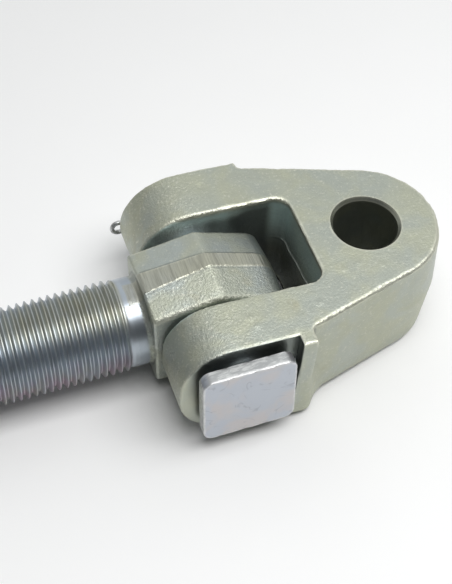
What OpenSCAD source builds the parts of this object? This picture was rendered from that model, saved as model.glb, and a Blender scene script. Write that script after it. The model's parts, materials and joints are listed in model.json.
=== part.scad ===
// Forged knuckle rod end: a clevis with a hitch-pin bore, a threaded eye hinged
// between its ears, a square-headed knuckle pin and the split pin that keeps it.
// Origin: centre of the clevis bore at mid thickness. +Z runs along that bore.
// +X points away from the threaded shank, and the knuckle pin lies along Y.

/* [Clevis] */
// Thickness of the forging, top face to bottom face
clevis_t = 45.5; // [44:0.5:47]
// Diameter of the plain bore for the hitch pin
bore_d = 25.7; // [22:0.1:28]
// Width of the chamfer at both mouths of the bore, across the bore
bore_chamfer = 1.1; // [0.5:0.1:2]
// Depth of the same chamfer, along the bore
bore_chamfer_depth = 1.5; // [0.5:0.1:3]
// Radius of the round end about the bore, at the parting plane
end_r = 30.5; // [29.5:0.1:30.6]
// Forging draft of the round end and the sides, in degrees from the bore axis
wall_draft = 4; // [3:0.1:7]
// Angle by which each side spreads towards the ears
side_angle = 17.2; // [16.5:0.1:17.3]
// Distance from the bore axis to the knuckle pin axis
pin_x = 64.8; // [64:0.1:66]

/* [Slot and ears] */
// Distance from the bore axis to the end wall of the slot
slot_end = 25.6; // [24:0.1:26]
// Width of the slot between the ears
slot_w = 42.8; // [42:0.1:44]
// Radius of the slot's inner corners
slot_corner_r = 6; // [3:0.5:8]
// Distance from the bore axis to the step where the ear bosses start
boss_start = 38.6; // [37.5:0.1:40]
// Distance from the middle plane to the outer face of the ear beside the pin head
ear_face = 44; // [43.5:0.1:44.5]
// Distance from the middle plane to the outer face of the far ear
far_ear_face = 45.1; // [44.3:0.1:45.8]
// Distance from the middle plane to the raised rim beside the pin head
rim_face = 48.7; // [46.5:0.1:50]
// Distance from the bore axis to the shoulder that keeps the head from turning
shoulder_x = 44.6; // [43:0.1:45]
// Distance from the bore axis to the tip of the ear beside the pin head
ear_tip = 89.2; // [87.6:0.1:90.5]
// Radius that rounds the same ear above and below its tip
ear_nose_r = 19.6; // [16:0.1:22]
// Distance from the bore axis to the tip of the far ear
far_ear_tip = 86.2; // [85:0.1:87.5]

/* [Knuckle pin] */
// Diameter of the knuckle pin
pin_d = 25; // [22:0.5:26]
// Radial running clearance of the pin in the ears and the eye
pin_clearance = 0.06; // [0.02:0.01:0.1]
// Side of the square head
head_side = 36.2; // [34:0.1:36.5]
// Thickness of the square head
head_t = 5.4; // [4:0.1:8]
// Radius of the square head's corners
head_corner_r = 4.5; // [2:0.5:8]
// Turn of the square head against the shoulder's slack, in degrees
head_turn = 3.4; // [0:0.1:4]
// Distance that the head stands off its ear
head_gap = 2.5; // [1:0.1:4]
// Distance from the middle plane to the pin's free end
pin_end = 51.2; // [50.5:0.1:53]

/* [Split pin] */
// Diameter of the hole for the split pin
split_hole_d = 4; // [3.8:0.1:4.6]
// Diameter of the two legs together
split_d = 3.7; // [3.2:0.1:3.9]
// Outer diameter of the eye
split_eye_d = 7.4; // [6.6:0.1:8]
// Distance from the pin axis to the tip of the eye
split_tip = 25.2; // [23.5:0.1:26]
// Angle of the split pin below the X axis, eye end down
split_angle = 14; // [0:1:30]
// How far round the pin each leg is bent
leg_wrap = 62; // [30:1:75]

/* [Threaded eye] */
// Width of the eye across its side faces
eye_w = 35; // [30:0.5:36]
// Distance that the eye has slid towards the pin head
eye_shift = 2.5; // [0:0.1:3]
// Radius of the eye's nose about the pin axis
nose_r = 28.3; // [27:0.1:30]
// Half height of the eye over the pin axis
eye_half_h = 25.6; // [24:0.1:26.5]
// Slope of the facets that run down to the shank
shank_facet_angle = 9.5; // [6:0.5:12]
// Slope of the facets that run down to the nose
nose_facet_angle = 22; // [18:0.5:26]
// Draft of the facets on both sides of the ground flash band
draft_angle = 10; // [6:0.5:12]
// Half width of the flat band where the flash was ground off
band_half_w = 3.1; // [2:0.1:6]
// Distance from the pin axis to the face that the shank grows from
root_x = 26.5; // [25:0.1:29]
// Major diameter of the M36 x 3 thread
thread_d = 36; // [35:0.5:38]
// Diameter of the plain neck behind the thread
neck_d = 34.4; // [33:0.1:34.6]
// Distance from the pin axis to the start of the thread
thread_start = 34.5; // [33:0.5:40]
// Distance from the pin axis to the end of the shank
shank_end = 134; // [100:1:200]
// Droop of the shank at rest, in degrees
rest_tilt = 3.5; // [0:0.1:6]

/* [Hidden] */
$fn = 96;
cut = 1;                                  // overrun of cutting shapes
half_t = clevis_t / 2;
half_slot = slot_w / 2;
nose_centre_x = ear_tip - ear_nose_r;
nose_centre_z = half_t - ear_nose_r;
body_end = boss_start + cut;              // the tapered body runs this far into the ears
pin_hole_d = pin_d + 2 * pin_clearance;
head_inner_y = -ear_face - head_gap;
split_y = far_ear_face + 0.9 + split_d / 2;   // the split pin all but touches the far ear
wire_r = split_d / 2;
eye_ring_r = split_eye_d / 2 - wire_r / 2;
eye_ring_x = split_tip - split_eye_d / 2;
leg_bend_r = pin_d / 2 + 0.3;
legs_start = eye_ring_x - eye_ring_r + wire_r / 4;
neck_fillet = 2.6;
shank_chamfer = 2;
pin_chamfer = 1.2;

// Half-round leg bent about the pin axis, from +X towards -Z
module half_round_arc(inner_r, angle) {
    rotate([90, 0, 0])
        rotate_extrude(angle = angle)
            translate([inner_r, 0])
                intersection() {
                    circle(r = wire_r);
                    translate([0, -wire_r])
                        square([wire_r, 2 * wire_r]);
                }
}

// Everything behind a plane that leans in above the parting plane. The plane stands at
// distance from the bore axis, and turn is the direction it faces.
module behind_plane(turn, distance, lean) {
    reach = 2 * ear_tip;
    rotate([0, 0, turn])
        translate([distance, 0, 0])
            rotate([0, -lean, 0])
                translate([-reach, -reach, -reach])
                    cube([reach, 2 * reach, 2 * reach]);
}

// Upper half of the round end and the tapered sides, drafted up from the parting plane
module upper_body() {
    tangent_x = end_r * sin(side_angle);
    tangent_lean = atan(sin(side_angle) * tan(wall_draft));
    cylinder(r1 = end_r, r2 = end_r - half_t * tan(wall_draft), h = half_t);
    intersection() {
        translate([-body_end, -ear_face, 0])
            cube([body_end + end_r, ear_face + far_ear_face, half_t]);
        behind_plane(90 - side_angle, end_r, wall_draft);
        behind_plane(side_angle - 90, end_r, wall_draft);
        behind_plane(0, tangent_x, tangent_lean);
    }
}

// Plan of the two ear bosses, and of the raised rim beside the pin head
module boss_plan() {
    translate([-ear_tip, -ear_face])
        square([ear_tip - boss_start, ear_face + far_ear_face]);
    translate([-shoulder_x, -rim_face])
        square([shoulder_x - boss_start, rim_face]);
}

// Side view of the half with the pin head: its ear is blunt at the tip
module head_side_view() {
    translate([-nose_centre_x, -half_t])
        square([nose_centre_x + end_r, clevis_t]);
    translate([-ear_tip, -nose_centre_z])
        square([ear_tip, 2 * nose_centre_z]);
    for (side = [-1, 1])
        translate([-nose_centre_x, side * nose_centre_z])
            circle(r = ear_nose_r);
}

// Side view of the other half: its ear ends in a half circle
module far_side_view() {
    centre_x = far_ear_tip - half_t;
    translate([-centre_x, -half_t])
        square([centre_x + end_r, clevis_t]);
    translate([-centre_x, 0])
        circle(r = half_t);
}

// Plan of the slot, with rounded inner corners
module slot_plan() {
    corner_x = -slot_end - slot_corner_r;
    corner_y = half_slot - slot_corner_r;
    translate([-ear_tip - cut, -half_slot])
        square([ear_tip + cut + corner_x, slot_w]);
    translate([corner_x - cut, -corner_y])
        square([slot_corner_r + cut, 2 * corner_y]);
    for (side = [-1, 1])
        translate([corner_x, side * corner_y])
            circle(r = slot_corner_r);
}

module bore_mouth_chamfer() {
    flare = bore_chamfer / bore_chamfer_depth;
    translate([0, 0, half_t - bore_chamfer_depth])
        cylinder(d1 = bore_d, d2 = bore_d + 2 * (bore_chamfer + cut * flare),
                 h = bore_chamfer_depth + cut);
}

module clevis() {
    color("#a9aa9c")
        difference() {
            intersection() {
                union() {
                    upper_body();
                    mirror([0, 0, 1])
                        upper_body();
                    translate([0, 0, -half_t])
                        linear_extrude(clevis_t)
                            boss_plan();
                }
                union() {
                    rotate([90, 0, 0])
                        linear_extrude(rim_face)
                            head_side_view();
                    translate([0, rim_face, 0])
                        rotate([90, 0, 0])
                            linear_extrude(rim_face)
                                far_side_view();
                }
            }
            translate([0, 0, -half_t - cut])
                linear_extrude(clevis_t + 2 * cut)
                    slot_plan();
            translate([0, 0, -half_t - cut])
                cylinder(d = bore_d, h = clevis_t + 2 * cut);
            bore_mouth_chamfer();
            mirror([0, 0, 1])
                bore_mouth_chamfer();
            translate([-pin_x, rim_face + cut, 0])
                rotate([90, 0, 0])
                    cylinder(d = pin_hole_d, h = 2 * (rim_face + cut));
        }
}

// Bar along X with a roof-shaped top, its ridge sloping down by angle from the crease
module roof_bar(angle) {
    depth = 80;
    roof_drop = (eye_w / 2 - band_half_w) * tan(draft_angle);
    translate([0, 0, eye_half_h])
        rotate([0, angle, 0])
            translate([-depth, 0, 0])
                rotate([90, 0, 90])
                    linear_extrude(2 * depth)
                        polygon([[-eye_w / 2, -2 * depth], [-eye_w / 2, -roof_drop],
                                 [-band_half_w, 0], [band_half_w, 0],
                                 [eye_w / 2, -roof_drop], [eye_w / 2, -2 * depth]]);
}

module facet_block(angle, low_x, high_x) {
    intersection() {
        translate([low_x, -eye_w / 2, -nose_r])
            cube([high_x - low_x, eye_w, 2 * nose_r]);
        roof_bar(angle);
        mirror([0, 0, 1])
            roof_bar(angle);
    }
}

// Drafted nose about the pin axis, widest at the flash band
module nose_form() {
    side_r = nose_r - (eye_w / 2 - band_half_w) * tan(draft_angle);
    rotate([90, 0, 0])
        rotate_extrude()
            polygon([[0, -eye_w / 2], [side_r, -eye_w / 2], [nose_r, -band_half_w],
                     [nose_r, band_half_w], [side_r, eye_w / 2], [0, eye_w / 2]]);
}

// Fillet between the eye block and the neck, kept within the width of the block
module root_fillet() {
    steps = 8;
    arc = [for (i = [0 : steps])
        [neck_d / 2 + neck_fillet * (1 - sin(90 * i / steps)),
         root_x + neck_fillet * (1 - cos(90 * i / steps))]];
    intersection() {
        rotate([0, -90, 0])
            rotate_extrude()
                polygon(concat([[0, root_x - cut], [neck_d / 2 + neck_fillet, root_x - cut]],
                               arc, [[0, root_x + neck_fillet]]));
        translate([-root_x - neck_fillet - cut, -eye_w / 2, -thread_d])
            cube([root_x, eye_w, 2 * thread_d]);
    }
}

// Plain neck, and the thread at its major diameter, revolved about the shank axis
module shank() {
    thread_r = thread_d / 2;
    run_out = (thread_d - neck_d) / 2;
    rotate([0, -90, 0])
        rotate_extrude()
            polygon([[0, root_x - cut], [neck_d / 2, root_x - cut], [neck_d / 2, thread_start],
                     [thread_r, thread_start + run_out], [thread_r, shank_end - shank_chamfer],
                     [thread_r - shank_chamfer, shank_end], [0, shank_end]]);
}

module threaded_eye() {
    color("#9c9d96")
        translate([-pin_x, -eye_shift, 0])
            rotate([0, -rest_tilt, 0])
                difference() {
                    union() {
                        facet_block(-shank_facet_angle, -root_x, 0);
                        intersection() {
                            facet_block(nose_facet_angle, 0, nose_r);
                            nose_form();
                        }
                        root_fillet();
                        shank();
                    }
                    translate([0, eye_w / 2 + cut, 0])
                        rotate([90, 0, 0])
                            cylinder(d = pin_hole_d, h = eye_w + 2 * cut);
                }
}

module head_square() {
    inset = head_side / 2 - head_corner_r;
    square([head_side, 2 * inset], center = true);
    square([2 * inset, head_side], center = true);
    for (x = [-inset, inset], z = [-inset, inset])
        translate([x, z])
            circle(r = head_corner_r);
}

module knuckle_pin() {
    color("#b3b2bd")
        translate([-pin_x, 0, 0])
            difference() {
                union() {
                    translate([0, head_inner_y, 0])
                        rotate([90, -head_turn, 0])
                            linear_extrude(head_t)
                                head_square();
                    translate([0, pin_end - pin_chamfer, 0])
                        rotate([90, 0, 0])
                            cylinder(d = pin_d, h = pin_end - pin_chamfer - head_inner_y);
                    translate([0, pin_end, 0])
                        rotate([90, 0, 0])
                            cylinder(d1 = pin_d - 2 * pin_chamfer, d2 = pin_d, h = pin_chamfer);
                }
                translate([0, split_y, 0])
                    rotate([0, 90 - split_angle, 0])
                        cylinder(d = split_hole_d, h = pin_d + 2 * cut, center = true);
            }
}

// Eye ring, the two closed legs through the pin, and their ends bent round it
module split_pin() {
    color("#8f9490")
        translate([-pin_x, split_y, 0])
            rotate([0, -split_angle, 0]) {
                translate([-eye_ring_x, 0, 0])
                    rotate([90, 0, 0])
                        rotate_extrude()
                            translate([eye_ring_r, 0])
                                circle(r = wire_r / 2);
                translate([-legs_start, 0, 0])
                    rotate([0, 90, 0])
                        cylinder(r = wire_r, h = legs_start + leg_bend_r + wire_r);
                for (side = [0, 1])
                    mirror([0, 0, side])
                        half_round_arc(leg_bend_r, leg_wrap);
            }
}

clevis();
threaded_eye();
knuckle_pin();
split_pin();
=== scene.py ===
"""Looks of the forged knuckle rod end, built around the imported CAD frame.

Shapes are signed distances in millimetres, in the part's frame or in a piece's own frame,
meshed by dual contouring. Meshes are in metres. Every colour and bump is node-based.
"""

import json
import math

import bmesh
import bpy
import numpy as np
from mathutils import Matrix, Vector


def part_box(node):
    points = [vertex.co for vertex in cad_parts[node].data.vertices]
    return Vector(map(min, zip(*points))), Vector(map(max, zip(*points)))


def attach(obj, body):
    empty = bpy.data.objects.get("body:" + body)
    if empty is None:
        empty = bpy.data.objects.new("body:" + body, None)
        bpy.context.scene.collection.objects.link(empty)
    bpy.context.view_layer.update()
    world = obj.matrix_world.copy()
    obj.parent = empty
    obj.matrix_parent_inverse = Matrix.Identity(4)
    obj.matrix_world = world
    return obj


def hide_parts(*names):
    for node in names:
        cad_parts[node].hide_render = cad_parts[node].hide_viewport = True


MM = 0.001

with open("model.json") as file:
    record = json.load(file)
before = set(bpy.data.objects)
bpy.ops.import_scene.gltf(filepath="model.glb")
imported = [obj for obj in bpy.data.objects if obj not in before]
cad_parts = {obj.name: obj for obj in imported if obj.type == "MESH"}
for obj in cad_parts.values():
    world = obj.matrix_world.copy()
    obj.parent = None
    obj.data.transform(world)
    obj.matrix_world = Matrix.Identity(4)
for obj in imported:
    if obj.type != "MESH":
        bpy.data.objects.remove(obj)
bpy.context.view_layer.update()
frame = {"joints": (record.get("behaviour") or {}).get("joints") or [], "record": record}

# ---------------------------------------------------------------- frame values
clevis_low, clevis_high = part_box("clevis")
eye_low, eye_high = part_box("threaded_eye")
pin_low, pin_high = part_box("knuckle_pin")
record = frame["record"]
mounts = {m["name"]: m for m in record["mounts"]}
joints = {j["name"]: j for j in frame["joints"]}

HALF_T = clevis_high.z / MM
END_R = clevis_high.x / MM
EAR_TIP = -clevis_low.x / MM
FAR_EAR_FACE = clevis_high.y / MM
RIM_FACE = -clevis_low.y / MM
BORE_R = mounts["clevis_bore"]["dims"]["r_mm"]
PIN_X = -joints["eye_swing"]["pos_m"][0] / MM
THREAD_R = mounts["threaded_shank"]["dims"]["r_mm"]
SHANK_AXIS = mounts["threaded_shank"]["axis"]
REST_TILT = math.atan2(-SHANK_AXIS[2], -SHANK_AXIS[0])
EYE_Y = (eye_low.y + eye_high.y) / 2 / MM
HEAD_OUTER = pin_low.y / MM
PIN_END = pin_high.y / MM

# clevis
SIDE_ANGLE = math.radians(17.2)
EAR_FACE = 44.0
FAR_EAR_TIP = 86.2
BOSS_START = 38.6
BOSS_EDGE_R = 1.2
BOSS_FILLET = 1.4
SHOULDER_X = 44.6
SLOT_END = 25.6
HALF_SLOT = 21.4
SLOT_CORNER_R = 6.0
CHAMFER_W = 1.1
CHAMFER_H = 1.5
NOSE_R = 19.6
WALL_DRAFT = math.tan(math.radians(4))
SLOT_DRAFT = 0.02
SLOT_END_DRAFT = 0.01
FLASH_RIDGE = 0.3
FLASH_HEIGHT = 3.0
FLASH_SLOPE = 0.08
EDGE_LUMPS = 0.3
RIM_FILLET = (0.5, 11.5)              # above, and at the foot
RIM_EDGE_R = (0.7, 3.7)
RIM_SET_BACK = 0.9
TOP_EDGE_R = 0.9
NEAR_TOP_EDGE_R = 1.7
SLOT_MOUTH_R = (0.7, 1.4)             # near side and far side

# scale marks on the top face: x, y, radius and height; the last one is a dent
TOP_MARKS = [
    (-17, -19.5, 1.2, 0.24),
    (-11, -18.5, 1.0, 0.2),
    (-2, -21.5, 0.9, 0.18),
    (-32, -32, 1.1, 0.22),
    (-59.5, -31.5, 1.2, 0.3),
    (-58, -35.5, 1.1, 0.3),
    (-56, 36, 1.2, -0.35),
]

# eye block
EYE_HALF_W = 17.5
EYE_HALF_H = 25.6
EYE_NOSE_R = 28.3
ROOT_X = 26.5
NECK_R = 17.2
NECK_FILLET = 2.6
SHANK_FACET = math.radians(9.5)
NOSE_FACET = math.radians(22)
FACET_DRAFT = math.tan(math.radians(10))
NOSE_DRAFT = 0.075
BAND_HALF_W = 3.1
BAND_SPREAD = 0.06
BAND_STEP = 0.28
BLOCK_EDGE_R = 2.0
ROOT_EDGE_R = 1.1
NECK_OVERLAP = 1.6
CREASE_R = (0.12, 1.02)               # at the band, and at the near side face

# thread
PITCH = 3.0
THREAD_DEPTH = 1.84
THREAD_START = 33.6
THREAD_FULL = 37.6
SHANK_END = 134.0
SHANK_CHAMFER = 2.1
THREAD_STOPS = np.array([0, 0.06, 0.12, 0.28, 0.44, 0.5, 0.56, 0.72, 0.88, 0.94])
THREAD_SEGMENTS = 144
THREAD_SHARP_DEGREES = 25

# knuckle pin and split pin
PIN_R = 12.5
PIN_HOLE_R = 12.56
HEAD_SIDE = 36.2
HEAD_T = 5.4
HEAD_CORNER_R = 4.5
HEAD_TURN = math.radians(3.4)
PIN_CHAMFER = 1.2
HEAD_EDGE_R = 0.45
HEAD_FILLET = 0.8
SPLIT_HOLE_R = 2.0
SPLIT_R = 1.85
SPLIT_GAP = 0.9
SPLIT_Y = FAR_EAR_FACE + SPLIT_GAP + SPLIT_R
SPLIT_WIRE_R = SPLIT_R / 2
SPLIT_EYE_R = 3.7
SPLIT_TIP = 25.2
SPLIT_RING_R = SPLIT_EYE_R - SPLIT_WIRE_R
SPLIT_RING_X = SPLIT_TIP - SPLIT_EYE_R
SPLIT_ANGLE = math.radians(14)
SEAM_OVERLAP = 0.12
SEAM_R = 0.35
LEG_WRAP = math.radians(62)
LEG_BEND_R = 12.8

# forging unevenness of faces and edges: amount, feature size and seed
FACE_LAYERS = ((0.5, 9, 1), (0.3, 3.4, 2), (0.35, 1.5, 3))
EDGE_LAYERS = ((0.6, 2.3, 4), (0.4, 1.1, 5))
CLEVIS_ROUGHNESS = 0.09
EYE_ROUGHNESS = 0.08
PIN_ROUGHNESS = 0.05

# mesh cells, in millimetres
CLEVIS_CELL = 0.68
EYE_CELL = 0.52
PIN_CELL = 0.5
SPLIT_CELL = 0.21


# ---------------------------------------------------------------- distance kit
def soft_union(a, b, r):
    """Union of two distances with a fillet of radius r."""
    return np.maximum(r, np.minimum(a, b)) - np.hypot(np.maximum(r - a, 0), np.maximum(r - b, 0))


def soft_cut(a, b, r):
    """Intersection of two distances with the edge rounded to radius r."""
    return np.minimum(-r, np.maximum(a, b)) + np.hypot(np.maximum(r + a, 0), np.maximum(r + b, 0))


def carve(a, b, r):
    """Takes b away from a and rounds the edge."""
    return soft_cut(a, -b, r)


def gradient(form, p, step=0.02):
    """Unit gradient of form at the points p."""
    g = np.empty_like(p)
    for axis in range(3):
        q = p.copy()
        q[:, axis] += step
        high = form(*q.T)
        q[:, axis] -= 2 * step
        g[:, axis] = high - form(*q.T)
    return g / np.maximum(np.linalg.norm(g, axis=1, keepdims=True), 1e-9)


def bend(form, p, step=0.7):
    """Sum of the curvatures of form at the points p: positive on edges, negative in corners."""
    total = -6 * form(*p.T)
    for axis in range(3):
        for side in (-step, step):
            q = p.copy()
            q[:, axis] += side
            total += form(*q.T)
    return total / step**2


# ---------------------------------------------------------------- dual contouring
ROOT_STEPS = 4                # steps towards each crossing
GRID_MARGIN = 2.37            # cells of empty room round the form, off any round number
CENTRE_PULL = 0.02            # keeps a vertex near its cell's middle where the surface is flat
CELL_SLACK = 0.1              # how far a vertex may leave its cell, in cells


def crossings(form, low, cell, value, axis):
    """Grid edges along axis where form changes sign: start index, point and direction of the sign."""
    count = value.shape[axis] - 1
    near = np.take(value, range(count), axis)
    far = np.take(value, range(1, count + 1), axis)
    index = np.argwhere((near < 0) != (far < 0))
    f0 = near[tuple(index.T)]
    f1 = far[tuple(index.T)]
    start = low + index * cell
    t0, t1 = np.zeros(len(index)), np.ones(len(index))
    a, b = f0.copy(), f1.copy()
    for _ in range(ROOT_STEPS):
        t = t0 + (t1 - t0) * np.clip(a / (a - b), 0.08, 0.92)
        p = start.copy()
        p[:, axis] += t * cell
        f = form(*p.T)
        same = (f < 0) == (a < 0)
        t0, a = np.where(same, t, t0), np.where(same, f, a)
        t1, b = np.where(same, t1, t), np.where(same, b, f)
    t = t0 + (t1 - t0) * a / (a - b)
    p = start.copy()
    p[:, axis] += t * cell
    return index, p, f0 < 0


def cells_around(index, axis, cells, inside_first):
    """The four cells round each grid edge, in the order that faces outwards."""
    u, v = (axis + 1) % 3, (axis + 2) % 3
    ring = []
    for du, dv in ((-1, -1), (0, -1), (0, 0), (-1, 0)):
        around = index.copy()
        around[:, u] += du
        around[:, v] += dv
        ring.append(np.ravel_multi_index(tuple(around.T), cells))
    ring = np.stack(ring, 1)
    ring[~inside_first] = ring[~inside_first][:, ::-1]
    return ring


def best_points(owner, points, normals):
    """For each owner, the point nearest to all the surface planes through its crossings."""
    total = np.bincount(owner).astype(float)
    mass = np.stack([np.bincount(owner, points[:, k]) for k in range(3)], 1) / total[:, None]
    reach = np.einsum("ij,ij->i", normals, points - mass[owner])
    matrix = np.empty((len(total), 3, 3))
    push = np.empty((len(total), 3))
    for i in range(3):
        push[:, i] = np.bincount(owner, normals[:, i] * reach)
        for j in range(3):
            matrix[:, i, j] = np.bincount(owner, normals[:, i] * normals[:, j])
    matrix += CENTRE_PULL * total[:, None, None] * np.eye(3)
    return mass + np.linalg.solve(matrix, push[:, :, None])[:, :, 0]


def contour(form, low, high, cell):
    """Vertices and quads of the surface form = 0, with sharp edges kept."""
    low = np.array(low, float) - GRID_MARGIN * cell
    size = np.ceil((np.array(high, float) + GRID_MARGIN * cell - low) / cell).astype(int) + 1
    axes = [low[k] + cell * np.arange(size[k]) for k in range(3)]
    value = form(*np.meshgrid(*axes, indexing="ij"))
    cells = size - 1
    quads, owners, points, normals = [], [], [], []
    for axis in range(3):
        index, p, inside_first = crossings(form, low, cell, value, axis)
        ring = cells_around(index, axis, cells, inside_first)
        quads.append(ring)
        owners.append(ring.T.ravel())
        points.append(np.tile(p, (4, 1)))
        normals.append(np.tile(gradient(form, p), (4, 1)))
    used, owner = np.unique(np.concatenate(owners), return_inverse=True)
    best = best_points(owner, np.concatenate(points), np.concatenate(normals))
    corner = low + np.stack(np.unravel_index(used, cells), 1) * cell
    vertices = np.clip(best, corner - CELL_SLACK * cell, corner + (1 + CELL_SLACK) * cell)
    faces = np.searchsorted(used, np.concatenate(quads))
    return vertices, faces


# ---------------------------------------------------------------- noise on points
def lattice(ix, iy, iz, seed):
    """Repeatable random numbers from -1 to 1 on whole-number points."""
    h = (ix * 73856093) ^ (iy * 19349663) ^ (iz * 83492791) ^ (seed * 2654435761)
    h = (h ^ (h >> 13)) * 1274126177
    h = h ^ (h >> 16)
    return (h & 0xFFFF) / 32767.5 - 1


def noise(p, scale, seed):
    """Smooth value noise of the given feature size at the points p."""
    q = p / scale
    base = np.floor(q).astype(np.int64)
    t = q - base
    t = t * t * (3 - 2 * t)
    total = np.zeros(len(p))
    for corner in range(8):
        d = np.array([corner & 1, corner >> 1 & 1, corner >> 2 & 1])
        weight = np.prod(np.where(d, t, 1 - t), 1)
        total += weight * lattice(*(base + d).T, seed)
    return total


def smooth(low, high, x):
    """0 at low and 1 at high, smooth between; low may be the greater."""
    t = np.clip((x - low) / (high - low), 0, 1)
    return t * t * (3 - 2 * t)


def between(ends, t):
    """The first of two values at t = 0 and the second at t = 1."""
    return ends[0] + (ends[1] - ends[0]) * t


# ---------------------------------------------------------------- clevis
def outer_plan(x, y, z):
    """Round end, tapered sides, ear bosses and the rim beside the pin head."""
    across = np.abs(y)
    sin_a, cos_a = math.sin(SIDE_ANGLE), math.cos(SIDE_ANGLE)
    past = x * cos_a - across * sin_a > 0
    body = np.where(past, np.hypot(x, y), x * sin_a + across * cos_a)
    body = body - END_R + WALL_DRAFT * np.abs(z)
    body = np.maximum(body, -BOSS_START - 4 - x)
    face = np.where(y > 0, FAR_EAR_FACE, EAR_FACE)
    boss = soft_cut(across - face, x + BOSS_START, BOSS_EDGE_R)
    low = smooth(14, -HALF_T, z)
    rim = np.maximum(x + BOSS_START - 0.1, np.maximum(-SHOULDER_X - x, y))
    joined = soft_union(soft_union(body, boss, BOSS_FILLET), rim, between(RIM_FILLET, low))
    return soft_cut(joined, -y - RIM_FACE + RIM_SET_BACK * low, between(RIM_EDGE_R, low))


def side_view(x, y, z):
    """Flat top and bottom with the ear noses: blunt beside the pin head, round on the far ear."""
    nose_r = np.where(y < 0, NOSE_R, HALF_T)
    cx = np.where(y < 0, NOSE_R - EAR_TIP, HALF_T - FAR_EAR_TIP)
    dx = np.maximum(cx - x, 0)
    dz = np.maximum(np.abs(z) - HALF_T + nose_r, 0)
    return np.where(x < cx, np.hypot(dx, dz) - nose_r, np.abs(z) - HALF_T)


def flash_level(y, z):
    """Height over the slightly wavy flash line on the slot's end wall."""
    return z - FLASH_HEIGHT + FLASH_SLOPE * y - 0.3 * np.sin(0.5 * y)


def slot_form(x, y, z):
    """Slot with drafted walls and a thin flash ridge all round at mid height."""
    ridge = FLASH_RIDGE * np.exp(-((flash_level(y, z) / 0.5) ** 2))
    half_w = HALF_SLOT + SLOT_DRAFT * np.abs(z)
    end = -SLOT_END + SLOT_END_DRAFT * np.abs(z) - ridge
    u = x - (end - SLOT_CORNER_R)
    v = np.abs(y) - (half_w - SLOT_CORNER_R)
    box = np.hypot(np.maximum(u, 0), np.maximum(v, 0)) + np.minimum(np.maximum(u, v), 0)
    return box - SLOT_CORNER_R


def bore_form(x, y, z):
    """Hitch-pin bore with a chamfer at both mouths."""
    depth = np.abs(z) - (HALF_T - CHAMFER_H)
    return np.hypot(x, y) - BORE_R - np.maximum(depth, 0) * CHAMFER_W / CHAMFER_H


def clevis_form(x, y, z):
    """The whole clevis forging."""
    plan = outer_plan(x, y, z)
    side = side_view(x, y, z)
    near = smooth(0, -8, y) * smooth(-39, -33, x)
    body = soft_cut(plan, side, between((TOP_EDGE_R, NEAR_TOP_EDGE_R), near))
    recess = np.where(x < -SHOULDER_X, -EAR_FACE + 0.05 - y, -RIM_FACE)
    body = np.maximum(body, recess)
    mouth = between(SLOT_MOUTH_R, smooth(17, 21, y)) + 0.1 * np.sin(x * 0.5 + y * 0.3)
    body = carve(body, slot_form(x, y, z), mouth)
    body = np.maximum(body, -bore_form(x, y, z))
    return np.maximum(body, PIN_HOLE_R - np.hypot(x + PIN_X, z))


# ---------------------------------------------------------------- threaded eye
def eye_form(x, y, z):
    """Forged eye block and neck, in the eye's own frame: pin axis at the origin."""
    band = BAND_HALF_W + BAND_SPREAD * np.maximum(-x, 0)
    off_band = np.maximum(np.abs(y) - band, 0)
    height = np.abs(z) + off_band * FACET_DRAFT + BAND_STEP * smooth(0, 0.7, off_band)
    shank_side = -x * math.sin(SHANK_FACET) + (height - EYE_HALF_H) * math.cos(SHANK_FACET)
    nose_side = x * math.sin(NOSE_FACET) + (height - EYE_HALF_H) * math.cos(NOSE_FACET)
    crease_r = between(CREASE_R, smooth(-9, -EYE_HALF_W, y))
    top = soft_cut(shank_side, nose_side, crease_r)
    nose = np.hypot(x, z) - EYE_NOSE_R + NOSE_DRAFT * off_band
    block = soft_cut(top, np.where(x > -6, nose, -9.0), BLOCK_EDGE_R)
    block = soft_cut(block, np.abs(y) - EYE_HALF_W, BLOCK_EDGE_R)
    block = soft_cut(block, -x - ROOT_X, ROOT_EDGE_R)
    around = np.hypot(y, z)
    neck = np.maximum(around - NECK_R, np.maximum(x + ROOT_X - 1, -x - THREAD_START + 1.2))
    fillet = NECK_FILLET * (1 - 0.9 * smooth(9, 16, np.abs(y)))
    form = np.maximum(soft_union(block, neck, fillet), np.abs(y) - EYE_HALF_W)
    return np.maximum(form, PIN_HOLE_R - np.hypot(x, z))


def thread_radius(s, phase):
    """Radius of the shank at distance s from the pin axis; phase runs 0 to 1 along a pitch."""
    away = np.abs((phase % 1.0) - 0.5) * 2
    groove = np.clip((0.875 - away) / 0.64, 0, 1)
    ridge = THREAD_R - THREAD_DEPTH * groove
    shown = smooth(THREAD_START, THREAD_FULL, s)
    radius = NECK_R + (ridge - NECK_R) * shown
    tip = THREAD_R - (s - (SHANK_END - SHANK_CHAMFER))
    return np.minimum(radius, tip)


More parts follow.
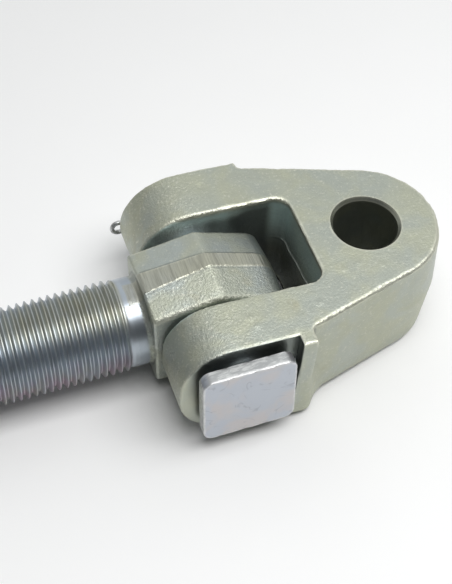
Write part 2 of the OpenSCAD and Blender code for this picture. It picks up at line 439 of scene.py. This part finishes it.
def thread_mesh(start):
    """Threaded shank along -X from start, its rows running with the helix and its ends open."""
    segments = THREAD_SEGMENTS
    rows = len(THREAD_STOPS)
    turns = int((SHANK_END - start) / PITCH) + 3
    base = ((np.arange(turns)[:, None] + THREAD_STOPS[None, :]).ravel() - 1) * PITCH + start
    angle = np.arange(segments) / segments
    s = base[:, None] + PITCH * angle[None, :]
    phase = (base[:, None] - start) / PITCH + 0 * angle[None, :]
    s_in = np.clip(s, start, SHANK_END)
    radius = thread_radius(s_in, phase)
    radius = np.where(s <= start, NECK_R, radius)
    radius = np.where(s >= SHANK_END, THREAD_R - SHANK_CHAMFER, radius)
    theta = 2 * math.pi * angle[None, :] + 0 * s
    vertices = np.stack([-s_in, radius * np.cos(theta), radius * np.sin(theta)], -1).reshape(-1, 3)
    i = np.arange(len(base) - rows - 1)
    quads = []
    for j in range(segments):
        k, shift = (j + 1) % segments, rows if j == segments - 1 else 0
        a = i * segments + j
        b = (i + 1) * segments + j
        c = (i + 1 + shift) * segments + k
        d = (i + shift) * segments + k
        quads.append(np.stack([a, d, c, b], 1))
    return vertices, np.concatenate(quads)


# ---------------------------------------------------------------- knuckle pin
def pin_form(x, y, z):
    """Shaft, square head and split-pin hole, in the pin's own frame: axis along Y."""
    around = np.hypot(x, z)
    shaft = np.maximum(around - PIN_R, HEAD_OUTER + 1 - y)
    shaft = np.maximum(shaft, (around + y - PIN_R - PIN_END + PIN_CHAMFER) * math.sqrt(0.5))
    shaft = np.maximum(shaft, y - PIN_END)
    c, s = math.cos(HEAD_TURN), math.sin(HEAD_TURN)
    u = x * c + z * s
    w = z * c - x * s
    reach = HEAD_SIDE / 2 - HEAD_CORNER_R
    du, dw = np.abs(u) - reach, np.abs(w) - reach
    square = np.hypot(np.maximum(du, 0), np.maximum(dw, 0)) + np.minimum(np.maximum(du, dw), 0)
    square = square - HEAD_CORNER_R
    plate = np.abs(y - HEAD_OUTER - HEAD_T / 2) - HEAD_T / 2
    head = soft_cut(square, plate, HEAD_EDGE_R)
    form = soft_union(shaft, head, HEAD_FILLET)
    ca, sa = math.cos(SPLIT_ANGLE), math.sin(SPLIT_ANGLE)
    across = np.hypot(y - SPLIT_Y, z * ca - x * sa)
    return np.maximum(form, SPLIT_HOLE_R - across)


# ---------------------------------------------------------------- split pin
def half_round(u, v, side):
    """Half-round wire section; u is across, v is out from the flat, side is +1 or -1."""
    return soft_cut(np.hypot(u, v) - SPLIT_R, -SEAM_OVERLAP - side * v, SEAM_R)


def split_form(x, y, z):
    """Split pin in its own frame: legs along X, ring at -X, ends wrapped round the knuckle pin."""
    radius = np.hypot(x, z)
    form = np.hypot(np.hypot(x + SPLIT_RING_X, z) - SPLIT_RING_R, y) - SPLIT_WIRE_R
    start = -SPLIT_RING_X + SPLIT_RING_R - 0.6
    for side in (-1, 1):
        leg = half_round(y, z, side)
        leg = np.maximum(np.maximum(leg, start - x), x - LEG_BEND_R - 0.4)
        wrap = half_round(y, radius - LEG_BEND_R, 1)
        angle = np.arctan2(side * z, x)
        wrap = np.maximum(wrap, -side * z)
        wrap = np.maximum(wrap, (angle - LEG_WRAP) * radius)
        wrap = np.maximum(wrap, -x)
        form = np.minimum(form, np.minimum(leg, wrap))
    return form


# ---------------------------------------------------------------- meshes in Blender
def make_object(name, vertices, faces, place=None, sharp_degrees=32):
    """A smooth-shaded mesh object from vertices in millimetres."""
    mesh = bpy.data.meshes.new(name)
    mesh.from_pydata((vertices * MM).tolist(), [], faces.tolist())
    if place is not None:
        mesh.transform(place)
    mesh.validate()
    mesh.shade_smooth()
    mesh.set_sharp_from_angle(angle=math.radians(sharp_degrees))
    obj = bpy.data.objects.new(name, mesh)
    bpy.context.scene.collection.objects.link(obj)
    return obj


def set_attributes(obj, **masks):
    """Stores one number per vertex under each name, for the materials to read."""
    for name, values in masks.items():
        attribute = obj.data.attributes.new(name, "FLOAT", "POINT")
        attribute.data.foreach_set("value", np.asarray(values, np.float32))


def layered(vertices, layers):
    """Sum of noises, each given as its amount, feature size and seed."""
    return sum(amount * noise(vertices, size, seed) for amount, size, seed in layers)


def forged(form, vertices, amount, machined, edges):
    """Sinks the surface by forging unevenness, less where machined is 1. It never rises."""
    normal = gradient(form, vertices)
    rough = layered(vertices, FACE_LAYERS)
    lumps = layered(vertices, EDGE_LAYERS)
    sink = amount * np.minimum(rough - 0.8, 0) + EDGE_LUMPS * edges * np.minimum(lumps - 0.4, 0)
    return vertices + normal * (sink * (1 - machined))[:, None]


def marked(vertices):
    """Adds the small scale marks of the top face: short bumps and one dent."""
    moved = np.zeros(len(vertices))
    for x, y, radius, height in TOP_MARKS:
        d = np.hypot(vertices[:, 0] - x, vertices[:, 1] - y) / radius
        moved += height * np.exp(-d * d)
    moved *= smooth(HALF_T - 2, HALF_T - 0.8, vertices[:, 2])
    return vertices + np.stack([0 * moved, 0 * moved, moved], 1)


def wear_values(form, vertices):
    """Edge mask from 0 to 1 for worn edges and painted shade from 0 to 1 for concave corners, from
    how the form bends.
    """
    amount = bend(form, vertices)
    return smooth(0.12, 0.7, amount), smooth(0.05, 0.5, -amount)


def clevis_machined(x, y, z):
    """Masks of the bored and milled faces: bore, recess under the head, shoulder and pin hole."""
    bore = 1 - smooth(CHAMFER_W + 0.1, CHAMFER_W + 0.6, np.hypot(x, y) - BORE_R)
    recess = (1 - smooth(0.05, 0.25, np.abs(y + EAR_FACE))) * smooth(0, 0.4, -SHOULDER_X - x)
    shoulder = (1 - smooth(0.05, 0.3, np.abs(x + SHOULDER_X))) * smooth(EAR_FACE - 0.5, EAR_FACE, -y)
    hole = 1 - smooth(0.1, 0.7, np.hypot(x + PIN_X, z) - PIN_HOLE_R)
    return bore, recess, shoulder, hole


def slot_tones(x, y, z):
    """Masks in the slot: its bright flash line, painted shade low down and on the far wall, and its
    blue-green plate tint lightened as painted light up the walls.
    """
    from_wall = slot_form(x, y, z)
    flash = np.exp(-((flash_level(y, z) / 0.45) ** 2)) * (from_wall < 0.4)
    flash = flash * smooth(-29, -27, x) * smooth(18, 15, y)
    in_slot = (1 - smooth(0.2, 0.6, from_wall)) * smooth(HALF_T - 1, HALF_T - 3, np.abs(z))
    streak = noise(np.stack([x, y, 0.15 * z], 1), 2.5, 6)
    # painted shade on the far wall: more low down and towards the slot's end, streaked
    deep = 0.7 * smooth(20, 14.5, z) + 0.65 * smooth(-54, -42, x + 0.4 * z - 8)
    far_wall = smooth(17, 20, y) * smooth(-29, -33.5, x) * np.clip(deep + 0.15 * streak, 0, 0.95)
    # painted shade darkening the slot towards its bottom, plus the far-wall patch
    dark = in_slot * np.clip(0.05 + 0.7 * smooth(6, -14, z) + far_wall, 0, 1)
    # blue-green plate tint, stronger up the walls and on the far wall as painted light
    pocket = in_slot * smooth(-6, 14, z) * (0.7 + 0.3 * smooth(10, 17, y)) * (1 - flash)
    return flash, dark, pocket * (1 - 0.95 * far_wall)


def build_clevis():
    """Mesh of the clevis with its machined and worn places, painted shade, painted light and plate
    tint marked.
    """
    low = (-EAR_TIP, -RIM_FACE, -HALF_T)
    high = (END_R, FAR_EAR_FACE, HALF_T)
    vertices, faces = contour(clevis_form, low, high, CLEVIS_CELL)
    x, y, z = vertices.T
    bore, recess, shoulder, hole = clevis_machined(x, y, z)
    machined = np.clip(bore + recess + shoulder + hole, 0, 1)
    wear, grime = wear_values(clevis_form, vertices)
    # pale worn edges at full strength only along the top edges, where it is painted highlight too; a
    # fifth of it elsewhere and at the near ear's end
    wear = wear * (0.2 + 0.8 * smooth(HALF_T - 4, HALF_T - 2, z) * smooth(-50, -43, x * (y < 0)))
    # painted shade in the slot; blue-green tint with painted light on its walls
    flash, inside, pocket = slot_tones(x, y, z)
    # painted shade in the bore below its chamfer, on the recess floor above the pin head and on the
    # shoulder wall
    inside = np.maximum(inside, 0.32 * bore * smooth(HALF_T - 0.2, HALF_T - 1.6, np.abs(z)))
    inside = np.maximum(inside, recess * smooth(-6, 6, z) * smooth(-90, -80, x))
    inside = np.maximum(inside, shoulder) * (1 - flash)
    sandy = 0.6 + 0.4 * smooth(-50, -70, x)
    vertices = marked(forged(clevis_form, vertices, CLEVIS_ROUGHNESS, machined, wear))
    obj = make_object("clevis_forging", vertices, faces)
    set_attributes(obj, machined=machined, wear=wear, grime=grime, inside=inside, pocket=pocket,
                   flash=flash, sandy=sandy)
    return obj


def eye_place():
    """Where the eye's own frame lies in the part's frame at rest."""
    return Matrix.Translation((-PIN_X * MM, EYE_Y * MM, 0)) @ Matrix.Rotation(-REST_TILT, 4, "Y")


def build_eye():
    """Mesh of the eye block and neck, in place at rest."""
    low = (-THREAD_START, -EYE_HALF_W, -EYE_NOSE_R)
    high = (EYE_NOSE_R, EYE_HALF_W, EYE_NOSE_R)
    vertices, faces = contour(eye_form, low, high, EYE_CELL)
    x, y, z = vertices.T
    neck = smooth(ROOT_X + 1.5, ROOT_X + 2.5, -x)
    hole = 1 - smooth(0.1, 0.7, np.hypot(x, z) - PIN_HOLE_R)
    off_band = np.abs(y) - BAND_HALF_W - BAND_SPREAD * np.maximum(-x, 0)
    band = (1 - smooth(-0.1, 0.3, off_band)) * smooth(19, 20, np.hypot(x, z))
    machined = np.clip(neck + hole + band, 0, 1)
    wear, grime = wear_values(eye_form, vertices)
    wear = wear * (0.1 + 0.9 * smooth(-ROOT_X + 0.5, -ROOT_X + 2.5, x) * smooth(1.5, 4, np.abs(x)))
    # painted shade on the nose end of the block, and in the pin hole
    nose_shade = 0.28 * smooth(1, 4, x) + 0.6 * smooth(13, 26, x)
    inside = np.maximum(hole, nose_shade)
    sandy = 0.6 + 0.4 * smooth(2, -8, y)
    none = np.zeros(len(x))
    vertices = forged(eye_form, vertices, EYE_ROUGHNESS, machined, 0.6 * wear)
    block = make_object("eye_block", vertices, faces, eye_place())
    set_attributes(block, machined=machined, band=band, wear=wear, grime=grime, inside=inside,
                   neck=neck, pocket=none, flash=none, sandy=sandy)
    return block


def close_ends(mesh):
    """Welds the helix mesh, caps both of its ends and drops loose vertices."""
    bm = bmesh.new()
    bm.from_mesh(mesh)
    bmesh.ops.remove_doubles(bm, verts=bm.verts, dist=1e-7)
    bmesh.ops.dissolve_degenerate(bm, dist=1e-7, edges=bm.edges)
    loose = [v for v in bm.verts if not v.link_faces]
    bmesh.ops.delete(bm, geom=loose, context="VERTS")
    ends = [e for e in bm.edges if len(e.link_faces) == 1]
    bmesh.ops.holes_fill(bm, edges=ends, sides=0)
    bmesh.ops.recalc_face_normals(bm, faces=bm.faces)
    bm.to_mesh(mesh)
    bm.free()


def build_thread():
    """Mesh of the threaded shank, in place at rest."""
    vertices, faces = thread_mesh(THREAD_START - NECK_OVERLAP)
    obj = make_object("threaded_shank", vertices, faces, eye_place(), THREAD_SHARP_DEGREES)
    close_ends(obj.data)
    obj.data.shade_smooth()
    obj.data.set_sharp_from_angle(angle=math.radians(THREAD_SHARP_DEGREES))
    along = np.array([v.co.x for v in obj.data.vertices]) / MM + PIN_X
    set_attributes(obj, neck=smooth(-THREAD_START - 2.2, -THREAD_START - 0.8, along))
    return obj


def build_pin():
    """Mesh of the knuckle pin, clipped to the CAD pin's length."""
    reach = HEAD_SIDE / 2 + 1.2
    low = (-reach, HEAD_OUTER, -reach)
    high = (reach, PIN_END, reach)
    vertices, faces = contour(pin_form, low, high, PIN_CELL)
    vertices[:, 1] = np.clip(vertices[:, 1], HEAD_OUTER, PIN_END)
    wear, _ = wear_values(pin_form, vertices)
    x, y, z = vertices.T
    head_inner = HEAD_OUTER + HEAD_T
    head = 1 - smooth(head_inner + 0.2, head_inner + 0.4, y)
    u = np.abs(x * math.cos(HEAD_TURN) + z * math.sin(HEAD_TURN))
    w = np.abs(z * math.cos(HEAD_TURN) - x * math.sin(HEAD_TURN))
    edge_face = head * smooth(HEAD_SIDE / 2 - 0.7, HEAD_SIDE / 2 - 0.3, np.maximum(u, w))
    vertices = forged(pin_form, vertices, PIN_ROUGHNESS, 1 - head, 0.3 * wear)
    obj = make_object("knuckle_pin_forging", vertices, faces, Matrix.Translation((-PIN_X * MM, 0, 0)))
    set_attributes(obj, wear=wear, edge_face=edge_face)
    return obj


def build_split_pin():
    """Mesh of the split pin, turned to its place past the far ear."""
    reach = LEG_BEND_R + SPLIT_R
    low = (-SPLIT_RING_X - SPLIT_RING_R - SPLIT_WIRE_R, -SPLIT_R, -reach)
    high = (reach, SPLIT_R, reach)
    vertices, faces = contour(split_form, low, high, SPLIT_CELL)
    place = Matrix.Translation((-PIN_X * MM, SPLIT_Y * MM, 0)) @ Matrix.Rotation(-SPLIT_ANGLE, 4, "Y")
    return make_object("split_pin_wire", vertices, faces, place)


# ---------------------------------------------------------------- materials
class Nodes:
    """Short names for building a node material."""

    def __init__(self, name):
        self.material = bpy.data.materials.new(name)
        self.material.use_nodes = True
        self.tree = self.material.node_tree
        self.tree.nodes.clear()
        self.output = self.new("ShaderNodeOutputMaterial")
        self.shader = self.new("ShaderNodeBsdfPrincipled")
        self.link(self.shader.outputs[0], self.output.inputs[0])
        self.place = self.new("ShaderNodeTexCoord").outputs["Object"]

    def new(self, kind, **values):
        """A node with these settings."""
        node = self.tree.nodes.new(kind)
        for key, value in values.items():
            setattr(node, key, value)
        return node

    def link(self, source, target):
        self.tree.links.new(source, target)

    def feed(self, socket, value):
        """Links an output, or sets a plain value."""
        if isinstance(value, bpy.types.NodeSocket):
            self.link(value, socket)
        else:
            socket.default_value = value

    def stretched(self, scale):
        """Texture place scaled along each axis; a small number draws the pattern out."""
        node = self.new("ShaderNodeMapping")
        self.link(self.place, node.inputs["Vector"])
        node.inputs["Scale"].default_value = scale
        return node.outputs[0]

    def noise(self, size_mm, detail=3.0, rough=0.5, vector=None, distortion=0.0):
        node = self.new("ShaderNodeTexNoise")
        self.link(vector or self.place, node.inputs["Vector"])
        node.inputs["Scale"].default_value = 1 / (size_mm * MM)
        node.inputs["Detail"].default_value = detail
        node.inputs["Roughness"].default_value = rough
        node.inputs["Distortion"].default_value = distortion
        return node.outputs["Fac"]

    def ramp(self, value, low, high):
        """0 below low and 1 above high, smooth between."""
        node = self.new("ShaderNodeMapRange", interpolation_type="SMOOTHSTEP")
        self.feed(node.inputs["Value"], value)
        node.inputs["From Min"].default_value = low
        node.inputs["From Max"].default_value = high
        return node.outputs["Result"]

    def math(self, operation, a, b):
        node = self.new("ShaderNodeMath", operation=operation)
        self.feed(node.inputs[0], a)
        self.feed(node.inputs[1], b)
        return node.outputs[0]

    def mix(self, factor, a, b):
        node = self.new("ShaderNodeMix", data_type="RGBA")
        self.feed(node.inputs["Factor"], factor)
        self.feed(node.inputs[6], a)
        self.feed(node.inputs[7], b)
        return node.outputs[2]

    def blend(self, factor, a, b):
        node = self.new("ShaderNodeMix", data_type="FLOAT")
        self.feed(node.inputs["Factor"], factor)
        self.feed(node.inputs[2], a)
        self.feed(node.inputs[3], b)
        return node.outputs[0]

    def attribute(self, name):
        node = self.new("ShaderNodeAttribute", attribute_name=name)
        return node.outputs["Fac"]

    def bump(self, height, distance_mm, strength=1.0, normal=None):
        node = self.new("ShaderNodeBump")
        self.feed(node.inputs["Height"], height)
        self.feed(node.inputs["Strength"], strength)
        node.inputs["Distance"].default_value = distance_mm * MM
        if normal is not None:
            self.link(normal, node.inputs["Normal"])
        return node.outputs[0]


def rgb(r, g, b):
    """Opaque linear colour."""
    return (r, g, b, 1.0)


# colours of the plate, its worn edges and dirt, and of painted shade and light
# pale worn edges; on the clevis top edges also a painted highlight
WORN_EDGE = rgb(0.72, 0.72, 0.60)
SAND_SPECK = rgb(0.72, 0.72, 0.62)
OLIVE_STAIN = rgb(0.40, 0.37, 0.24)
# painted shade in concave corners
GRIME = rgb(0.20, 0.21, 0.19)
# painted shade in the slot, bore, recess, shoulder and the eye's nose and hole
DEEP_GRIME = rgb(0.13, 0.15, 0.155)
# the slot's blue-green plate tint, made light as painted light on its upper walls
POCKET_PLATE = rgb(0.48, 0.66, 0.64)
FLASH_LINE = rgb(0.80, 0.83, 0.78)
TURNED_FORGING = rgb(0.39, 0.435, 0.48)
TURNED_NECK = rgb(0.43, 0.475, 0.52)
GROUND_BAND = rgb(0.50, 0.48, 0.38)
GRINDING_MARK = rgb(0.30, 0.30, 0.25)


def finish_material(n, colour, rough, normal, metallic):
    """Feeds the four main sockets and gives the material."""
    n.link(colour, n.shader.inputs["Base Color"])
    n.link(rough, n.shader.inputs["Roughness"])
    n.link(normal, n.shader.inputs["Normal"])
    n.feed(n.shader.inputs["Metallic"], metallic)
    return n.material


def forging_colour(n, warm, cool, dark, patches, grain):
    """Patchy plate with stains, pale sand specks and dark pits."""
    colour = n.mix(patches, warm, cool)
    clouds = n.ramp(n.noise(5, 4, 0.6), 0.3, 0.75)
    colour = n.mix(n.math("MULTIPLY", clouds, 0.34), colour, dark)
    stain = n.ramp(n.noise(26, 3, 0.6, distortion=1.5), 0.62, 0.72)
    colour = n.mix(n.math("MULTIPLY", stain, 0.3), colour, OLIVE_STAIN)
    speck = n.ramp(n.noise(1.25, 3, 0.7), 0.54, 0.70)
    colour = n.mix(n.math("MULTIPLY", n.math("MULTIPLY", speck, 0.7), grain), colour, SAND_SPECK)
    pits = n.ramp(n.noise(1.3, 3, 0.7, n.stretched((1.0, 1.1, 0.9))), 0.56, 0.72)
    return n.mix(n.math("MULTIPLY", n.math("MULTIPLY", pits, 0.5), grain), colour, dark)


def ground_band(n, colour, surface):
    """Adds the turned neck and the cross-grinding marks of the flash band."""
    colour = n.mix(n.attribute("neck"), colour, TURNED_FORGING)
    band = n.attribute("band")
    grind = n.noise(1.3, 3, 0.7, n.stretched((1.0, 0.06, 1.0)))
    broad = n.noise(4.0, 2, 0.5, n.stretched((1.0, 0.12, 1.0)))
    surface = n.bump(n.math("ADD", grind, broad), 0.5, n.math("MULTIPLY", band, 0.8), surface)
    colour = n.mix(n.math("MULTIPLY", band, 0.5), colour, GROUND_BAND)
    dark_marks = n.math("MULTIPLY", n.ramp(grind, 0.45, 0.62), 0.5)
    return n.mix(n.math("MULTIPLY", band, dark_marks), colour, GRINDING_MARK), surface


def zinc_forging(name, warm, cool, dark, with_band=False):
    """Zinc-plated forging: sandy where forged, smooth where machined, pale on worn edges and as
    painted highlight on the top edges, with painted shade in corners and hollows and painted light on
    the slot's upper walls.
    """
    n = Nodes(name)
    machined, wear, grime = n.attribute("machined"), n.attribute("wear"), n.attribute("grime")
    inside, pocket, flash = n.attribute("inside"), n.attribute("pocket"), n.attribute("flash")
    grain = n.math("MULTIPLY", n.math("SUBTRACT", 1.0, machined), n.attribute("sandy"))
    patches = n.ramp(n.noise(17, 2, 0.55, distortion=0.6), 0.35, 0.65)
    colour = forging_colour(n, warm, cool, dark, patches, grain)
    # worn edges, and painted highlight along the top edges
    colour = n.mix(n.math("MULTIPLY", wear, 0.7), colour, WORN_EDGE)
    # painted shade in concave corners
    colour = n.mix(n.math("MULTIPLY", grime, 0.6), colour, GRIME)
    # painted shade in the slot, bore, recess and shoulder, and on the eye's nose and hole
    colour = n.mix(n.math("MULTIPLY", inside, 0.75), colour, DEEP_GRIME)
    # blue-green plate tint with painted light on the slot's upper walls
    colour = n.mix(n.math("MULTIPLY", pocket, 0.75), colour, POCKET_PLATE)
    colour = n.mix(flash, colour, FLASH_LINE)
    height = n.math("ADD", n.noise(0.95, 3, 0.7), n.math("MULTIPLY", n.noise(2.4, 2, 0.5), 0.25))
    surface = n.bump(height, 0.42, n.math("MULTIPLY", grain, 0.9))
    rough = n.blend(machined, n.blend(patches, 0.48, 0.42), 0.32)
    rough = n.blend(n.math("MULTIPLY", wear, 0.6), rough, 0.38)
    if with_band:
        colour, surface = ground_band(n, colour, surface)
        rough = n.blend(n.attribute("neck"), rough, n.blend(n.noise(3, 2, 0.5), 0.28, 0.36))
    # less metallic where the slot's painted light lies, so the tint shows bright, and on the flash
    # line
    metallic = n.blend(flash, n.blend(pocket, 0.9, 0.3), 0.1)
    return finish_material(n, colour, rough, surface, metallic)


def zinc_thread():
    """Rolled thread coloured by height as painted reflection: olive above, blue where the highlight
    lies, blue-grey with pink and violet patches below.
    """
    n = Nodes("thread_zinc")
    split = n.new("ShaderNodeSeparateXYZ")
    n.link(n.place, split.inputs[0])
    height = split.outputs["Z"]
    # painted reflection: the colour changes with height round the shank
    below = n.ramp(height, 0.006, -0.010)
    tint = n.ramp(n.noise(7, 3, 0.6, n.stretched((1.6, 0.5, 0.5))), 0.35, 0.68)
    upper = n.mix(tint, rgb(0.44, 0.46, 0.43), rgb(0.41, 0.41, 0.34))
    upper = n.mix(n.ramp(height, 0.014, 0.007), upper, rgb(0.43, 0.48, 0.53))
    lower = n.mix(tint, rgb(0.42, 0.44, 0.48), rgb(0.41, 0.40, 0.37))
    pink = n.ramp(n.noise(8, 2, 0.5, n.stretched((1.8, 0.6, 0.6))), 0.46, 0.62)
    lower = n.mix(n.math("MULTIPLY", pink, 0.6), lower, rgb(0.46, 0.34, 0.45))
    colour = n.mix(below, upper, lower)
    streaks = n.noise(0.8, 3, 0.6, n.stretched((1.0, 0.08, 0.08)))
    dark_streaks = n.math("MULTIPLY", n.ramp(streaks, 0.4, 0.7), 0.3)
    colour = n.mix(dark_streaks, colour, rgb(0.25, 0.25, 0.24))
    turned = n.attribute("neck")
    colour = n.mix(turned, colour, TURNED_NECK)
    rough = n.blend(turned, n.blend(n.noise(4, 3, 0.6), 0.3, 0.46), 0.32)
    return finish_material(n, colour, rough, n.bump(streaks, 0.05, 0.4), 0.92)


def zinc_pin():
    """Bright blue-white plate with thin handling arcs and fine scratches."""
    n = Nodes("pin_zinc")
    patch = n.ramp(n.noise(15, 2, 0.5, distortion=0.8), 0.4, 0.66)
    colour = n.mix(patch, rgb(0.52, 0.55, 0.60), rgb(0.575, 0.555, 0.56))
    swirl = n.noise(11, 2, 0.5, distortion=0.7)
    from_middle = n.math("ABSOLUTE", n.math("SUBTRACT", swirl, 0.5), 0.0)
    broken = n.ramp(n.noise(5, 3, 0.6), 0.42, 0.6)
    arcs = n.math("MULTIPLY", n.ramp(from_middle, 0.016, 0.002), broken)
    colour = n.mix(n.math("MULTIPLY", arcs, 0.5), colour, rgb(0.33, 0.35, 0.39))
    scuffs = n.ramp(n.noise(1.6, 3, 0.7, n.stretched((0.35, 1.0, 1.0)), 0.8), 0.4, 0.62)
    scuffed = n.mix(scuffs, rgb(0.46, 0.47, 0.47), rgb(0.68, 0.69, 0.68))
    colour = n.mix(n.attribute("edge_face"), colour, scuffed)
    colour = n.mix(n.math("MULTIPLY", n.attribute("wear"), 0.45), colour, rgb(0.80, 0.80, 0.80))
    fine = n.noise(0.9, 3, 0.6, n.stretched((0.15, 1.0, 1.0)))
    bump = n.bump(n.math("ADD", n.noise(3.5, 3, 0.6), n.math("MULTIPLY", fine, 0.3)), 0.10, 0.6)
    return finish_material(n, colour, n.blend(n.noise(5, 3, 0.6), 0.34, 0.5), bump, 0.9)


def zinc_wire():
    """Plated wire with small dull spots."""
    n = Nodes("split_pin_zinc")
    spots = n.ramp(n.noise(1.6, 3, 0.6), 0.4, 0.65)
    colour = n.mix(spots, rgb(0.58, 0.59, 0.59), rgb(0.42, 0.42, 0.40))
    bump = n.bump(n.noise(0.7, 3, 0.6), 0.08, 0.5)
    return finish_material(n, colour, n.blend(spots, 0.34, 0.5), bump, 0.95)


# ---------------------------------------------------------------- stage, light and camera
CAMERA_TARGET = (-0.0563238, -0.00047635, 0.0)
CAMERA_AZIMUTH = math.radians(23.72586)
CAMERA_ELEVATION = math.radians(50.75217)
CAMERA_ROLL = math.radians(5.791517)
CAMERA_DISTANCE = 0.546263
CAMERA_LENS = 86.17
FLOOR_HALF = 3.0
FLOOR_TILT = math.radians(1.75)       # lies along the underside of the resting part
FLOOR_GAP = 0.1
LIGHT_PLACE = (0.16, -0.20, 0.80)
LIGHT_TARGET = (0.16, -0.20, 0)
LIGHT_SIZE = (0.92, 0.50)
LIGHT_POWER = 6.6
SKY_COLOUR = (0.97, 0.99, 1.0, 1.0)
BACKGROUND_STRENGTH = 0.9


def make_camera():
    """Camera at the photograph's viewing angle."""
    data = bpy.data.cameras.new("camera")
    data.lens = CAMERA_LENS
    data.sensor_width = 36
    data.clip_start = 0.01
    camera = bpy.data.objects.new("camera", data)
    bpy.context.scene.collection.objects.link(camera)
    cos_e = math.cos(CAMERA_ELEVATION)
    back = Vector((-math.sin(CAMERA_AZIMUTH) * cos_e, -math.cos(CAMERA_AZIMUTH) * cos_e,
                   math.sin(CAMERA_ELEVATION)))
    right = Vector((math.cos(CAMERA_AZIMUTH), -math.sin(CAMERA_AZIMUTH), 0))
    up = back.cross(right)
    c, s = math.cos(CAMERA_ROLL), math.sin(CAMERA_ROLL)
    turned = Matrix((c * right + s * up, c * up - s * right, back)).transposed()
    camera.matrix_world = (Matrix.Translation(Vector(CAMERA_TARGET) + back * CAMERA_DISTANCE)
                           @ turned.to_4x4())
    bpy.context.scene.camera = camera


def make_floor():
    """Pale paper, with painted shadow only where the part all but touches it."""
    mesh = bpy.data.meshes.new("floor")
    h = FLOOR_HALF
    mesh.from_pydata([(-h, -h, 0), (h, -h, 0), (h, h, 0), (-h, h, 0)], [], [(0, 1, 2, 3)])
    floor = bpy.data.objects.new("floor", mesh)
    floor.location = (END_R * MM, 0, -(HALF_T + FLOOR_GAP) * MM)
    floor.rotation_euler = (0, -FLOOR_TILT, 0)
    bpy.context.scene.collection.objects.link(floor)
    n = Nodes("floor_paper")
    paper = n.mix(n.noise(40, 2, 0.5), rgb(0.93, 0.93, 0.925), rgb(0.95, 0.95, 0.945))
    # painted shadow from how closed in the floor is, under the slot and bore
    cover = n.new("ShaderNodeAmbientOcclusion", samples=12)
    cover.inputs["Distance"].default_value = 0.06
    openness = n.ramp(cover.outputs["AO"], 0.1, 0.22)
    n.link(n.mix(openness, rgb(0.05, 0.055, 0.05), paper), n.shader.inputs["Base Color"])
    n.shader.inputs["Roughness"].default_value = 0.9
    mesh.materials.append(n.material)


def make_light():
    """One broad soft light overhead."""
    data = bpy.data.lights.new("overhead", "AREA")
    data.shape = "RECTANGLE"
    data.size, data.size_y = LIGHT_SIZE
    data.energy = LIGHT_POWER
    light = bpy.data.objects.new("overhead", data)
    light.location = LIGHT_PLACE
    toward = Vector(LIGHT_TARGET) - Vector(LIGHT_PLACE)
    light.rotation_euler = toward.to_track_quat("-Z", "Y").to_euler()
    bpy.context.scene.collection.objects.link(light)


def world_ramp(tree, value, places, strengths):
    """Strength that goes from the first to the second between two places along an axis."""
    node = tree.nodes.new("ShaderNodeMapRange")
    node.inputs["From Min"].default_value = places[0]
    node.inputs["From Max"].default_value = places[1]
    node.inputs["To Min"].default_value = strengths[0]
    node.inputs["To Max"].default_value = strengths[1]
    tree.links.new(value, node.inputs["Value"])
    return node.outputs["Result"]


def make_world():
    """Pale studio surround: brighter behind the part, dimmer past the shank's end."""
    world = bpy.data.worlds.new("studio")
    bpy.context.scene.world = world
    world.use_nodes = True
    tree = world.node_tree
    background = tree.nodes["Background"]
    place = tree.nodes.new("ShaderNodeTexCoord")
    split = tree.nodes.new("ShaderNodeSeparateXYZ")
    tree.links.new(place.outputs["Generated"], split.inputs[0])
    both = tree.nodes.new("ShaderNodeMath")
    both.operation = "MULTIPLY"
    tree.links.new(world_ramp(tree, split.outputs["Y"], (-0.5, 0.6), (0.05, 0.85)), both.inputs[0])
    tree.links.new(world_ramp(tree, split.outputs["X"], (-0.9, -0.1), (0.4, 1.0)), both.inputs[1])
    light_path = tree.nodes.new("ShaderNodeLightPath")
    mix = tree.nodes.new("ShaderNodeMix")
    mix.data_type = "FLOAT"
    tree.links.new(light_path.outputs["Is Camera Ray"], mix.inputs["Factor"])
    tree.links.new(both.outputs[0], mix.inputs[2])
    mix.inputs[3].default_value = BACKGROUND_STRENGTH
    tree.links.new(mix.outputs[0], background.inputs["Strength"])
    background.inputs["Color"].default_value = SKY_COLOUR


def put(obj, node, body, material):
    """Gives the piece its material in a slot and its body, and hides the CAD part of its node."""
    obj.data.materials.append(material)
    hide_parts(node)
    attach(obj, body)


make_camera()
make_floor()
make_world()
make_light()
bpy.context.scene.view_settings.view_transform = "Standard"

clevis_zinc = zinc_forging("clevis_zinc", rgb(0.475, 0.49, 0.385), rgb(0.44, 0.47, 0.415),
                           rgb(0.38, 0.40, 0.35))
eye_zinc = zinc_forging("eye_zinc", rgb(0.47, 0.49, 0.40), rgb(0.44, 0.48, 0.455),
                        rgb(0.37, 0.39, 0.35), True)
put(build_clevis(), "clevis", "fork", clevis_zinc)
put(build_eye(), "threaded_eye", "eye", eye_zinc)
put(build_thread(), "threaded_eye", "eye", zinc_thread())
put(build_pin(), "knuckle_pin", "pin", zinc_pin())
put(build_split_pin(), "split_pin", "pin", zinc_wire())
